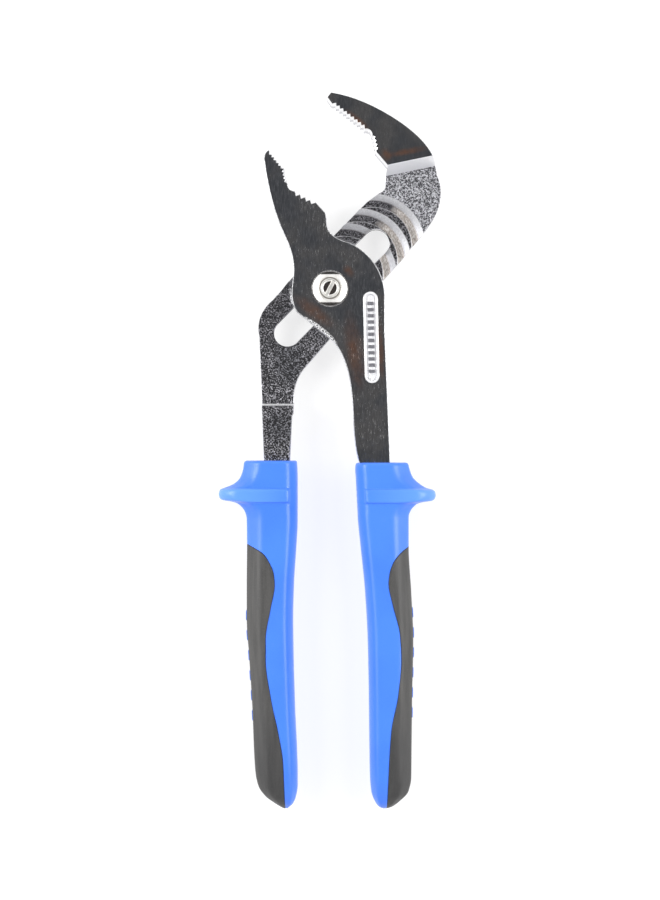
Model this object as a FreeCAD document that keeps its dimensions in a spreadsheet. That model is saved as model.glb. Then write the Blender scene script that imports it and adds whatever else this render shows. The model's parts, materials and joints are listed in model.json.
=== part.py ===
"""Tongue and groove pliers, 250 mm: two forged levers, a keyed pivot bolt, washer, nut and two-shot grips.

Frame: millimetres, +Z up. The pliers lie flat. The origin is on the pivot bolt's axis, on the bench plane
that the bolt head rests on. +Y points to the jaws, +X to the front lever's handle.
The joint plane, where the two levers meet, is parallel to the bench at mid_height.
"""
import FreeCAD
import Part
import math
import os
import Sketcher

Vector = FreeCAD.Vector
Rotation = FreeCAD.Rotation
Placement = FreeCAD.Placement

DIMENSIONS = [
    ("mid_height", 10.0, "joint plane above the bench"),
    ("face_gap", 0.1, "each lever's lapped face from the joint plane"),
    ("plate_thick", 5.2, "each lever's thickness where they overlap"),
    ("lap_radius_jaw", 20.8, "lap's end behind the lower jaw, from the bolt's axis"),
    ("lap_radius_shank", 26.0, "lap's end behind the front shank, from the bolt's axis"),
    ("tang_half", 3.7, "half the tang's thickness inside the grip"),
    ("slot_angle", 45.5, "slot direction from +X, degrees"),
    ("slot_width", 9.4, "width of the slot"),
    ("slot_up", 23.2, "slot end centre towards the upper jaw"),
    ("slot_down", 21.35, "slot end centre away from the upper jaw"),
    ("pitch", 7.1, "distance from one groove to the next"),
    ("stations", 7, "number of grooves"),
    ("groove_inner", 13.7, "groove's inner edge from the bolt's axis"),
    ("groove_outer", 18.3, "groove's outer edge from the bolt's axis"),
    ("groove_steep", 0.4, "run of the groove's steep inner wall"),
    ("groove_slope", 2.5, "run of the groove's sloping outer wall"),
    ("groove_depth", 2.4, "groove depth"),
    ("groove_middle", 54.75, "middle of a groove from +X, degrees"),
    ("groove_sweep", 121.5, "angle a groove covers, degrees"),
    ("tongue_play", 0.15, "tongue off the groove's steep wall"),
    ("tongue_root", 3.0, "tongue width at its root"),
    ("tongue_tip", 1.0, "tongue width at its tip"),
    ("tongue_height", 2.0, "tongue height below the front lever's lapped face"),
    ("tongue_middle", 74, "middle of the tongue from +X, degrees"),
    ("tongue_sweep", 34, "angle the tongue covers, degrees"),
    ("ramp_run", 2.95, "ramp below the upper jaw, in plan"),
    ("ramp_rise", 4.9, "height of that ramp"),
    ("step_run", 0.7, "slope where the rear shank thickens, in plan"),
    ("head_flats", 14.0, "bolt head across flats"),
    ("head_chamfer", 0.8, "chamfer round the bolt head"),
    ("head_gap", 0.1, "bolt head below the rear lever"),
    ("key_round", 9.3, "diameter of the bolt's key before its flats"),
    ("key_flats", 9.2, "width of the key across its flats"),
    ("journal", 8.0, "bolt diameter in the front lever"),
    ("journal_play", 0.05, "radial clearance of the front lever on the bolt"),
    ("thread_size", 5.9, "bolt diameter in the washer and nut"),
    ("thread_play", 0.05, "radial clearance in the nut"),
    ("end_rise", 0.2, "bolt's end above the nut's collar"),
    ("end_chamfer", 0.4, "chamfer round the bolt's end"),
    ("seat_size", 12.4, "diameter of the seat under the washer"),
    ("seat_depth", 0.8, "depth of that seat"),
    ("washer_outer", 12.0, "washer outside diameter"),
    ("washer_thick", 0.7, "washer thickness"),
    ("washer_gap", 0.05, "washer above its seat"),
    ("nut_round", 12.0, "nut diameter"),
    ("nut_flats", 9.7, "nut across its two flats"),
    ("nut_thick", 1.9, "nut thickness"),
    ("nut_slope_run", 1.7, "sloping rim of the nut, in plan"),
    ("nut_slope_drop", 0.6, "drop of that rim"),
    ("collar_size", 7.8, "raised collar on the nut"),
    ("collar_rise", 0.6, "height of that collar"),
    ("driver_width", 1.3, "width of the screwdriver slot in the bolt's end"),
    ("driver_depth", 0.9, "depth of the screwdriver slot"),
    ("driver_angle", 62, "direction of the screwdriver slot from +X, degrees"),
    ("panel_width", 5.1, "width of the recessed panel"),
    ("panel_length", 31.9, "length of the recessed panel"),
    ("panel_depth", 0.5, "depth of the recessed panel"),
    ("rim_width", 0.9, "width of the raised rim round the panel"),
    ("rim_rise", 0.2, "height of that rim above the lever's face"),
    ("bars", 12, "raised bars in the panel"),
    ("bar_margin", 1.0, "first and last bar from the panel's round ends"),
    ("bar_length", 1.2, "length of a bar, along the panel"),
    ("bar_width", 2.1, "width of a bar, across the panel"),
    ("bar_top", 0.1, "top of the bars below the lever's face"),
    ("grip_half", 9.0, "half the thickness of a grip"),
    ("guard_half", 9.94, "half the thickness of the guard"),
    ("guard_plate", 4.2, "thickness of the guard along the grip"),
    ("guard_top", 69.8, "guard's top face below the bolt's axis"),
    ("inlay_depth", 2.2, "thickness of the soft inlay"),
    ("mark_rise", 0.3, "raised marks above the inlay"),
    ("mark_root", 0.4, "marks' root below the inlay"),
    ("mark_length", 3.6, "length of a mark along the grip"),
    ("mark_width", 5.0, "width of a mark across the grip's edge"),
]

doc = FreeCAD.newDocument("tongue_and_groove_pliers")
sheet = doc.addObject("Spreadsheet::Sheet", "dims")
for row, (alias, value, meaning) in enumerate(DIMENSIONS, start=1):
    sheet.set(f"A{row}", alias)
    sheet.set(f"B{row}", str(value))
    sheet.set(f"C{row}", meaning)
    sheet.setAlias(f"B{row}", alias)
doc.recompute()


def dim(alias):
    """A driving dimension's value."""
    return float(sheet.get(alias))


BACK = "dims.mid_height - dims.face_gap - dims.plate_thick"
FRONT = "dims.mid_height + dims.face_gap + dims.plate_thick"
FULL = "2 * (dims.face_gap + dims.plate_thick)"
REAR_LAP = "dims.mid_height - dims.face_gap"
FRONT_LAP = "dims.mid_height + dims.face_gap"
SEAT = f"{FRONT} - dims.seat_depth + dims.washer_gap"
NUT_FACE = f"{SEAT} + dims.washer_thick"

TOOTH_SKIN = 0.05
PAST = 1.0
SHANK_END = -62.0
SHANK_STEP = -40.0
PANEL_TURN = -88.7
SECTION_POINTS = 16
SECTION_POWER = 0.75
NECK_LINE = [(-40.0, 27.4), (45.0, 45.0)]
WEB_START = -61.5
WEB_ROOT = 3.0
WEB_FLARE = 6.4
WEB_TAIL = 6.6


class Outline:
    """A closed chain of lines, arcs and curves in a plane."""

    def __init__(self, x, y):
        self.begin = self.at = Vector(x, y, 0)
        self.edges = []

    def line(self, x, y):
        end = Vector(x, y, 0)
        self.edges.append(Part.LineSegment(self.at, end))
        self.at = end
        return self

    def arc(self, via, end):
        end = Vector(*end, 0)
        self.edges.append(Part.Arc(self.at, Vector(*via, 0), end))
        self.at = end
        return self

    def curve(self, *points):
        points = [self.at] + [Vector(*p, 0) for p in points]
        spline = Part.BSplineCurve()
        spline.interpolate(points)
        self.edges.append(spline)
        self.at = points[-1]
        return self

    def close(self):
        if self.at.distanceToPoint(self.begin) > 1e-6:
            self.line(self.begin.x, self.begin.y)
        return self


def body_named(name):
    body = doc.addObject("PartDesign::Body", name)
    body.Label = name
    return body


def sketch_in(body, name, plane="XY_Plane", lift=None, turn=None):
    """A sketch on one of the body's origin planes, lifted along its normal and turned in its plane."""
    sketch = body.newObject("Sketcher::SketchObject", name)
    support = [f for f in body.Origin.OriginFeatures if f.Role == plane][0]
    sketch.AttachmentSupport = [(support, "")]
    sketch.MapMode = "FlatFace"
    if turn:
        sketch.AttachmentOffset = Placement(Vector(), Rotation(Vector(0, 0, 1), 1))
        sketch.setExpression("AttachmentOffset.Rotation.Angle", turn)
    if lift:
        sketch.setExpression("AttachmentOffset.Base.z", lift)
    return sketch


def draw(sketch, *outlines):
    for outline in outlines:
        sketch.addGeometry(outline.close().edges, False)
    return sketch


def add_circle(sketch, size):
    """A circle about the sketch's origin whose diameter is an expression."""
    value = float(sketch.evalExpression(size))
    index = sketch.addGeometry(Part.Circle(Vector(), Vector(0, 0, 1), value / 2), False)
    sketch.addConstraint(Sketcher.Constraint("Coincident", index, 3, -1, 1))
    number = sketch.addConstraint(Sketcher.Constraint("Diameter", index, value))
    sketch.setExpression(f"Constraints[{number}]", size)


def add_stadium(sketch, low, high, width):
    """A slot shape along the sketch's X axis: end centres at low and high, all three being expressions."""
    near, far, half = (float(sketch.evalExpression(text)) for text in (low, high, f"({width}) / 2"))
    up = Vector(0, 0, 1)
    top = sketch.addGeometry(Part.LineSegment(Vector(near, half, 0), Vector(far, half, 0)), False)
    bottom = sketch.addGeometry(Part.LineSegment(Vector(far, -half, 0), Vector(near, -half, 0)), False)
    far_round = Part.Circle(Vector(far, 0, 0), up, half)
    near_round = Part.Circle(Vector(near, 0, 0), up, half)
    right = sketch.addGeometry(Part.ArcOfCircle(far_round, -math.pi / 2, math.pi / 2), False)
    left = sketch.addGeometry(Part.ArcOfCircle(near_round, math.pi / 2, math.pi * 3 / 2), False)
    joints = (top, 2, right, 2), (right, 1, bottom, 1), (bottom, 2, left, 2), (left, 1, top, 1)
    for first, end, second, start in joints:
        sketch.addConstraint(Sketcher.Constraint("Tangent", first, end, second, start))
    for arc, value, place in ((right, far, high), (left, near, low)):
        sketch.addConstraint(Sketcher.Constraint("PointOnObject", arc, 3, -1))
        number = sketch.addConstraint(Sketcher.Constraint("DistanceX", -1, 1, arc, 3, value))
        sketch.setExpression(f"Constraints[{number}]", place)
    number = sketch.addConstraint(Sketcher.Constraint("Radius", right, half))
    sketch.setExpression(f"Constraints[{number}]", f"({width}) / 2")


def pad(body, sketch, name, length, reverse=False, middle=False):
    feature = body.newObject("PartDesign::Pad", name)
    feature.Profile = sketch
    feature.setExpression("Length", length)
    feature.Reversed = reverse
    feature.Midplane = middle
    doc.recompute()
    return feature


def pocket(body, sketch, name, length=None, reverse=False):
    """A cut along the sketch's normal, against it, or right through both ways. It has to remove something."""
    before = body.Tip.Shape.Volume
    feature = body.newObject("PartDesign::Pocket", name)
    feature.Profile = sketch
    if length:
        feature.setExpression("Length", length)
        feature.Reversed = not reverse
    else:
        feature.Type = "ThroughAll"
        feature.Midplane = True
    doc.recompute()
    if not feature.Shape.Volume < before - 1e-3:
        raise ValueError(f"{name} cuts nothing")
    return feature


def edges_at(shape, height, keep=lambda centre: True):
    """Names of the edges that lie in the plane at that height and whose middles pass the test."""
    names = []
    for number, edge in enumerate(shape.Edges, start=1):
        box = edge.BoundBox
        if abs(box.ZMin - height) < 1e-4 and abs(box.ZMax - height) < 1e-4 and keep(box.Center):
            names.append(f"Edge{number}")
    return names


def chamfer(body, name, edges, size, other=None):
    """A chamfer of equal sides, or of two sides."""
    base = body.Tip
    feature = body.newObject("PartDesign::Chamfer", name)
    feature.Base = (base, edges)
    feature.setExpression("Size", size)
    if other:
        feature.ChamferType = "Two distances"
        feature.setExpression("Size2", other)
    doc.recompute()
    return feature


def slope_down(body, name, edge, run, rise):
    """A slope that starts that far in on the upper face and drops that far down the wall."""
    before = body.Tip.Shape
    feature = chamfer(body, name, [edge], run, rise)
    foot = before.getElement(edge).BoundBox.ZMax - float(feature.evalExpression(rise))
    if len(edges_at(feature.Shape, foot)) == len(edges_at(before, foot)):
        feature.FlipDirection = True
        doc.recompute()
    return feature


def teeth(start, end, count, depth):
    """An outline that cuts count teeth into a straight edge. The metal is on the right, from start to end."""
    start, end = Vector(*start, 0), Vector(*end, 0)
    step = (end - start) / count
    inward = Vector(step.y, -step.x, 0).normalize()
    outline = Outline(*(start - inward * PAST)[:2])
    tip = start + inward * TOOTH_SKIN
    outline.line(*tip[:2])
    for _ in range(count):
        valley = tip + step / 2 + inward * depth
        tip = tip + step
        outline.line(*valley[:2])
        outline.line(*tip[:2])
    return outline.line(*(end - inward * PAST)[:2])


def polar(length, angle):
    """A point at that distance and angle from the bolt's axis."""
    return length * math.cos(math.radians(angle)), length * math.sin(math.radians(angle))


def trapezium(near, far, near_run, far_run, top, low):
    """A section across a groove or a tongue, in a plane through the axis that it turns about.

    near and far are its edges at the top. Each run is how far that side leans in on its way down.
    """
    outline = Outline(near, top).line(near + near_run, low)
    return outline.line(far - far_run, low).line(far, top)


def swing(sketch, angle, along=None):
    """Turn an XZ sketch about the bolt's axis, and move it along the slot by an expression."""
    sketch.AttachmentOffset = Placement(Vector(), Rotation(Vector(0, 1, 0), 1))
    sketch.setExpression("AttachmentOffset.Rotation.Angle", angle)
    if along:
        sketch.setExpression("AttachmentOffset.Base.x", f"({along}) * cos(dims.slot_angle * 1 deg)")
        sketch.setExpression("AttachmentOffset.Base.z", f"-({along}) * sin(dims.slot_angle * 1 deg)")
    return sketch


def turn_about(body, kind, name, sketch, angle):
    """A Revolution or a Groove of a sketch about its own upright axis, half to each side."""
    feature = body.newObject(f"PartDesign::{kind}", name)
    feature.Profile = sketch
    feature.ReferenceAxis = (sketch, ["V_Axis"])
    feature.Midplane = True
    feature.setExpression("Angle", angle)
    doc.recompute()
    return feature


def repeat(body, name, feature, sketch, axis, length, count):
    """A row of a feature along one of a sketch's axes."""
    pattern = body.newObject("PartDesign::LinearPattern", name)
    pattern.Originals = [feature]
    pattern.Direction = (sketch, [axis])
    pattern.setExpression("Length", length)
    pattern.setExpression("Occurrences", count)
    body.Tip = pattern
    doc.recompute()
    return pattern


def forging(name, outline):
    """A lever's blank, at full thickness."""
    body = body_named(name)
    plan = draw(sketch_in(body, f"{name}_plan", lift=BACK), outline)
    pad(body, plan, f"{name}_blank", FULL)
    return body


def tang(body, outline):
    """The flat bar that carries the grip."""
    plan = draw(sketch_in(body, f"{body.Label}_tang_plan", lift="dims.mid_height"), outline)
    return pad(body, plan, f"{body.Label}_tang", "2 * dims.tang_half", middle=True)


def front_outline():
    """Lower jaw, head and shank of the front lever, clockwise from the jaw's tip."""
    outline = Outline(-21.4, 48.3)
    outline.line(-15.9, 41.7)
    outline.line(-14.7, 36.5)
    outline.arc((-14.0, 34.6), (-12.2, 34.0))
    outline.line(-4.9, 30.0)
    outline.line(-2.0, 26.8)
    outline.arc((-1.5, 26.2), (-1.3, 25.4))
    outline.line(-1.1, 22.4)
    outline.curve((0.2, 19.3), (3.1, 17.2), (6.8, 15.9))
    outline.arc((14.0, 10.6), (19.1, -3.8))
    outline.line(19.1, -14.3)
    outline.line(20.9, -58.3)
    outline.line(21.0, SHANK_END)
    outline.line(10.5, SHANK_END)
    outline.curve((8.0, -43.6), (6.1, -28.3), (3.8, -22.3), (1.3, -18.4))
    outline.line(-11.5, -8.2)
    outline.curve((-13.3, -2.3), (-12.7, 5.9), (-13.6, 12.9), (-17.1, 21.3), (-20.5, 31.8), (-22.9, 44.3))
    return outline.arc((-22.7, 46.9), (-21.4, 48.3))


def rear_outline():
    """Upper jaw, neck and shank of the rear lever, clockwise from the jaw's tip."""
    outline = Outline(0.3, 68.4)
    outline.curve((8.9, 66.2), (18.5, 61.8), (28.8, 54.8), (34.6, 48.5), (37.5, 40.1))
    outline.curve((38.9, 33.9), (37.7, 27.6), (33.7, 20.9), (25.5, 10.9))
    outline.line(-0.8, -18.1)
    outline.line(-7.6, -26.0)
    outline.curve((-11.2, -31.1), (-12.7, -39.4))
    outline.line(-12.8, -43.4)
    outline.line(-13.3, -44.3)
    outline.line(-14.1, SHANK_END)
    outline.line(-22.9, SHANK_END)
    outline.line(-24.8, -16.1)
    outline.curve((-25.1, -12.6), (-23.7, -8.0), (-19.9, -3.5))
    outline.line(-13.6, 4.0)
    outline.line(13.0, 30.9)
    outline.line(17.4, 33.9)
    outline.arc((18.9, 35.0), (19.4, 36.8))
    outline.line(19.3, 39.0)
    outline.line(20.2, 42.6)
    outline.line(15.9, 47.6)
    outline.line(14.5, 53.4)
    outline.arc((13.9, 55.0), (12.1, 55.4))
    outline.line(0.5, 64.4)
    return outline.line(-1.1, 66.6)


def front_lever():
    body = forging("front_lever", front_outline())
    lap = Outline(-dim("lap_radius_jaw"), 0)
    lap.arc((0, dim("lap_radius_jaw")), (dim("lap_radius_jaw"), 0))
    lap.line(dim("lap_radius_shank"), 0)
    lap.arc((0, -dim("lap_radius_shank")), (-dim("lap_radius_shank"), 0))
    plan = draw(sketch_in(body, "front_lap_plan", lift=FRONT_LAP), lap)
    pocket(body, plan, "front_lap", f"dims.plate_thick + {PAST}", reverse=True)

    section = swing(sketch_in(body, "tongue_section", plane="XZ_Plane"), "dims.tongue_middle")
    root = dim("mid_height") + dim("face_gap")
    near = dim("groove_inner") + dim("tongue_play")
    far = near + dim("tongue_root")
    slope = dim("tongue_root") - dim("tongue_tip") - dim("groove_steep")
    shape = trapezium(near, far, dim("groove_steep"), slope, root, root - dim("tongue_height"))
    turn_about(body, "Revolution", "tongue", draw(section, shape), "dims.tongue_sweep")

    cuts = sketch_in(body, "lower_jaw_teeth_plan", lift=BACK)
    draw(cuts, teeth((-20.9, 47.7), (-16.1, 41.9), count=6, depth=0.6))
    pocket(body, cuts, "lower_jaw_tip_teeth")
    cuts = sketch_in(body, "lower_jaw_pipe_teeth_plan", lift=BACK)
    draw(cuts, teeth((-15.9, 41.5), (-14.8, 36.8), count=4, depth=0.7))
    pocket(body, cuts, "lower_jaw_pipe_teeth")
    cuts = sketch_in(body, "lower_jaw_root_teeth_plan", lift=BACK)
    draw(cuts, teeth((-12.1, 33.9), (-5.0, 30.1), count=4, depth=1.1))
    pocket(body, cuts, "lower_jaw_root_teeth")

    hole = sketch_in(body, "bolt_hole_plan", lift=BACK)
    add_circle(hole, "dims.journal + 2 * dims.journal_play")
    pocket(body, hole, "bolt_hole")
    seat = sketch_in(body, "seat_plan", lift=f"{FRONT} - dims.seat_depth")
    add_circle(seat, "dims.seat_size")
    pocket(body, seat, "seat", f"dims.seat_depth + {PAST}")

    panel(body)
    bar = Outline(10.6, -60.0).curve((13.0, -80.0), (16.0, -105.0), (17.6, -135.0), (18.2, -163.0))
    bar.arc((20.9, -165.7), (23.6, -163.0))
    bar.curve((24.3, -135.0), (23.6, -105.0), (21.8, -80.0), (20.7, -60.0))
    tang(body, bar)
    return body


def panel(body):
    """A raised rim, a recess and a row of plain raised bars along the shank's front face."""
    def plan(name, lift):
        sketch = sketch_in(body, name, lift=lift)
        sketch.AttachmentOffset = Placement(Vector(14.0, -1.05, 0), Rotation(Vector(0, 0, 1), PANEL_TURN))
        sketch.setExpression("AttachmentOffset.Base.z", lift)
        return sketch

    ends = "dims.panel_width / 2", "dims.panel_length - dims.panel_width / 2"
    rim = plan("panel_rim_plan", f"{FRONT} - dims.panel_depth")
    add_stadium(rim, *ends, "dims.panel_width")
    pad(body, rim, "panel_rim", "dims.panel_depth + dims.rim_rise")
    well = plan("panel_well_plan", f"{FRONT} - dims.panel_depth")
    add_stadium(well, *ends, "dims.panel_width - 2 * dims.rim_width")
    pocket(body, well, "panel_well", f"dims.panel_depth + {PAST}")
    row = plan("panel_bar_plan", f"{FRONT} - 2 * dims.panel_depth")
    first = dim("panel_width") / 2 + dim("bar_margin")
    last = first + dim("bar_length")
    side = dim("bar_width") / 2
    draw(row, Outline(first, -side).line(last, -side).line(last, side).line(first, side))
    bar = pad(body, row, "panel_bar", "2 * dims.panel_depth - dims.bar_top")
    span = "dims.panel_length - dims.panel_width - 2 * dims.bar_margin - dims.bar_length"
    repeat(body, "panel_bars", bar, row, "H_Axis", span, "dims.bars")


def rear_lever():
    body = forging("rear_lever", rear_outline())
    (left, left_y), (right, right_y) = NECK_LINE
    neck = Outline(left, left_y).line(right, right_y).line(right, SHANK_STEP).line(left, SHANK_STEP)
    plan = draw(sketch_in(body, "neck_plan", lift=REAR_LAP), neck)
    pocket(body, plan, "neck", f"dims.plate_thick + {PAST}")

    top = body.Tip.Shape.BoundBox.ZMax
    crest = edges_at(body.Tip.Shape, top, lambda centre: 39 < centre.y < 43 and 24 < centre.x < 32)
    slope_down(body, "ramp", crest[0], "dims.ramp_run", "dims.ramp_rise")
    crest = edges_at(body.Tip.Shape, top, lambda centre: abs(centre.y - SHANK_STEP) < 1e-3)
    slope_down(body, "shank_step", crest[0], "dims.step_run", "dims.ramp_rise")

    slot = sketch_in(body, "slot_plan", lift=BACK, turn="dims.slot_angle")
    add_stadium(slot, "-dims.slot_down", "dims.slot_up", "dims.slot_width")
    pocket(body, slot, "slot")

    first = "-(dims.stations - 1) / 2 * dims.pitch"
    section = swing(sketch_in(body, "groove_section", plane="XZ_Plane"), "dims.groove_middle", along=first)
    face = dim("mid_height") - dim("face_gap")
    sides = dim("groove_inner"), dim("groove_outer"), dim("groove_steep"), dim("groove_slope")
    shape = trapezium(*sides, face, face - dim("groove_depth"))
    groove = turn_about(body, "Groove", "first_groove", draw(section, shape), "dims.groove_sweep")
    repeat(body, "grooves", groove, slot, "H_Axis", "(dims.stations - 1) * dims.pitch", "dims.stations")

    cuts = sketch_in(body, "upper_jaw_tip_teeth_plan", lift=BACK)
    draw(cuts, teeth((11.9, 55.6), (0.8, 64.2), count=9, depth=0.8))
    pocket(body, cuts, "upper_jaw_tip_teeth")
    cuts = sketch_in(body, "upper_jaw_root_teeth_plan", lift=BACK)
    draw(cuts, teeth((15.8, 48.0), (14.6, 53.2), count=4, depth=0.7))
    pocket(body, cuts, "upper_jaw_root_teeth")

    bar = Outline(-22.8, -60.0).curve((-24.0, -80.0), (-24.7, -105.0), (-24.0, -135.0), (-22.2, -163.0))
    bar.arc((-19.3, -165.9), (-16.4, -163.0))
    bar.curve((-16.6, -135.0), (-16.9, -105.0), (-16.0, -80.0), (-14.2, -60.0))
    tang(body, bar)
    return body


def disc(body, name, size, low, height):
    """A round boss about the bolt's axis."""
    plan = sketch_in(body, f"{name}_plan", lift=low)
    add_circle(plan, size)
    pad(body, plan, name, height)


def half_planes(body, name, gap, low, height, turn):
    """Cut a boss down to two flats, that far apart, facing away from the turned X axis."""
    plan = sketch_in(body, f"{name}_plan", lift=low, turn=turn)
    reach = dim("nut_round")
    for side in (1, -1):
        near = dim(gap) / 2 * side
        far = near + reach * side
        draw(plan, Outline(-reach, near).line(reach, near).line(reach, far).line(-reach, far))
    pocket(body, plan, name, height)


def pivot_bolt():
    """Hexagon head, double-D key in the slot, journal in the front lever, thread and a screwdriver slot."""
    body = body_named("pivot_bolt")
    head = sketch_in(body, "head_plan")
    corner = dim("head_flats") / math.sqrt(3)
    outline = Outline(*polar(corner, 15))
    for side in range(1, 6):
        outline.line(*polar(corner, 15 + 60 * side))
    draw(head, outline)
    pad(body, head, "head", f"{BACK} - dims.head_gap")
    chamfer(body, "head_chamfer", edges_at(body.Tip.Shape, 0), "dims.head_chamfer")
    key_base = f"{BACK} - dims.head_gap"
    key_height = f"{REAR_LAP} - ({key_base})"
    disc(body, "key", "dims.key_round", key_base, key_height)
    half_planes(body, "key_flats", "key_flats", key_base, key_height, "dims.slot_angle")
    disc(body, "journal", "dims.journal", REAR_LAP, f"{SEAT} - ({REAR_LAP})")
    end = f"{NUT_FACE} + dims.nut_thick + dims.collar_rise + dims.end_rise"
    disc(body, "thread", "dims.thread_size", SEAT, f"{end} - ({SEAT})")
    top = body.Tip.Shape.BoundBox.ZMax
    chamfer(body, "end_chamfer", edges_at(body.Tip.Shape, top), "dims.end_chamfer")
    groove = sketch_in(body, "driver_plan", lift=f"{end} - dims.driver_depth", turn="dims.driver_angle")
    half = dim("driver_width") / 2
    reach = dim("thread_size")
    draw(groove, Outline(-reach, -half).line(reach, -half).line(reach, half).line(-reach, half))
    pocket(body, groove, "driver_slot", f"dims.driver_depth + {PAST}")
    return body


def pivot_washer():
    body = body_named("pivot_washer")
    plan = sketch_in(body, "washer_plan", lift=SEAT)
    add_circle(plan, "dims.washer_outer")
    add_circle(plan, "dims.thread_size + 2 * dims.thread_play")
    pad(body, plan, "washer", "dims.washer_thick")
    return body


def pivot_nut():
    """A round nut with two spanner flats and a raised collar."""
    body = body_named("pivot_nut")
    disc(body, "nut", "dims.nut_round", NUT_FACE, "dims.nut_thick")
    rim = edges_at(body.Tip.Shape, body.Tip.Shape.BoundBox.ZMax)
    slope_down(body, "nut_slope", rim[0], "dims.nut_slope_run", "dims.nut_slope_drop")
    disc(body, "collar", "dims.collar_size", f"{NUT_FACE} + dims.nut_thick", "dims.collar_rise")
    half_planes(body, "nut_flats", "nut_flats", NUT_FACE, "dims.nut_thick", "0")
    bore = sketch_in(body, "nut_bore_plan", lift=NUT_FACE)
    add_circle(bore, "dims.thread_size + 2 * dims.thread_play")
    pocket(body, bore, "nut_bore")
    return body


def squircle(sketch, near, far, half):
    """A rounded section across a grip, between two X places and half to each side of the joint plane."""
    middle = (near + far) / 2
    wide = (far - near) / 2
    points = []
    for number in range(SECTION_POINTS):
        angle = 2 * math.pi * number / SECTION_POINTS
        across, up = math.cos(angle), math.sin(angle)
        x = middle + wide * math.copysign(abs(across) ** SECTION_POWER, across)
        z = dim("mid_height") + half * math.copysign(abs(up) ** SECTION_POWER, up)
        points.append(Vector(x, z, 0))
    ring = Part.BSplineCurve()
    ring.interpolate(Points=points, PeriodicFlag=True)
    sketch.addGeometry(ring, False)
    return sketch


def grip_form(name, rows, inset=0.0):
    """A solid along the grip: each row is a place along Y, the two sides' X places and half the thickness."""
    body = body_named(name)
    sections = []
    for number, (y, near, far, half) in enumerate(rows):
        sketch = sketch_in(body, f"{name}_section_{number}", plane="XZ_Plane", lift=f"{-y}")
        side = math.copysign(inset, far - near)
        sections.append(squircle(sketch, near + side, far - side, half - inset))
    loft = body.newObject("PartDesign::AdditiveLoft", f"{name}_loft")
    loft.Profile = sections[0]
    loft.Sections = sections[1:]
    loft.Ruled = True
    doc.recompute()
    return body


def guard_form(name, near, far, tip):
    """The finger guard: a rounded plate across the grip and the web that flares out to it."""
    body = body_named(name)
    side = math.copysign(1, tip - near)
    middle = (near + tip) / 2
    wide = abs(tip - near) / 2
    plate = sketch_in(body, f"{name}_plate_plan", plane="XZ_Plane", lift="dims.guard_top")
    squircle(plate, middle - wide, middle + wide, dim("guard_half"))
    pad(body, plate, f"{name}_plate", "dims.guard_plate")
    root = far - WEB_ROOT * side
    flare = far + WEB_FLARE * side
    bend = far + WEB_FLARE * 0.29 * side
    high = -dim("guard_top")
    low = high - dim("guard_plate")
    web = Outline(root, WEB_START)
    web.line(far, WEB_START)
    web.arc((bend, high + WEB_TAIL / 2), (flare, high))
    web.line(flare, low)
    web.arc((bend, low - WEB_TAIL / 3), (far, low - WEB_TAIL))
    web.line(root, low - WEB_TAIL)
    plan = draw(sketch_in(body, f"{name}_web_plan", lift="dims.mid_height"), web)
    pad(body, plan, f"{name}_web", "1.3 * dims.grip_half", middle=True)
    return body


def prism(name, outlines, height="4 * dims.grip_half"):
    """An upright cutter centred on the joint plane."""
    body = body_named(name)
    plan = draw(sketch_in(body, f"{name}_plan", lift="dims.mid_height"), *outlines)
    pad(body, plan, f"{name}_pad", height, middle=True)
    return body


def boolean(kind, label, base, tool):
    result = doc.addObject(f"Part::{kind}", label)
    result.Label = label
    if kind == "MultiFuse":
        result.Shapes = [base, tool]
    else:
        result.Base = base
        result.Tool = tool
    doc.recompute()
    return result


def grip(side, rows, guard, seam, marks, steel):
    """A two-shot grip: the hard sleeve with its guard and marks, and the soft inlay along its outer side."""
    form = grip_form(f"{side}_form", rows)
    core = grip_form(f"{side}_core", rows[:-2], inset=dim("inlay_depth"))
    zone = prism(f"{side}_zone", [seam])
    mark_pads = prism(f"{side}_marks", marks, height="dims.mark_width")
    patch = boolean("Common", f"{side}_patch", form, zone)
    shell = boolean("Cut", f"{side}_shell", patch, core)
    inlay = boolean("Cut", f"{side}_grip_inlay", shell, mark_pads)
    guarded = boolean("MultiFuse", f"{side}_guarded", form, guard)
    marked = boolean("MultiFuse", f"{side}_marked", guarded, mark_pads)
    hollow = boolean("Cut", f"{side}_hollow", marked, inlay)
    sleeve = boolean("Cut", f"{side}_grip_sleeve", hollow, steel)
    return sleeve, inlay


def mark_outlines(places, side):
    """Plain bars across the grip's outer edge, given each one's Y and the edge's X there."""
    outlines = []
    for y, x in places:
        outer = x + dim("mark_rise") * side
        inner = x - (dim("inlay_depth") + dim("mark_root")) * side
        low, high = y - dim("mark_length") / 2, y + dim("mark_length") / 2
        outlines.append(Outline(inner, low).line(outer, low).line(outer, high).line(inner, high))
    return outlines


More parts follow.
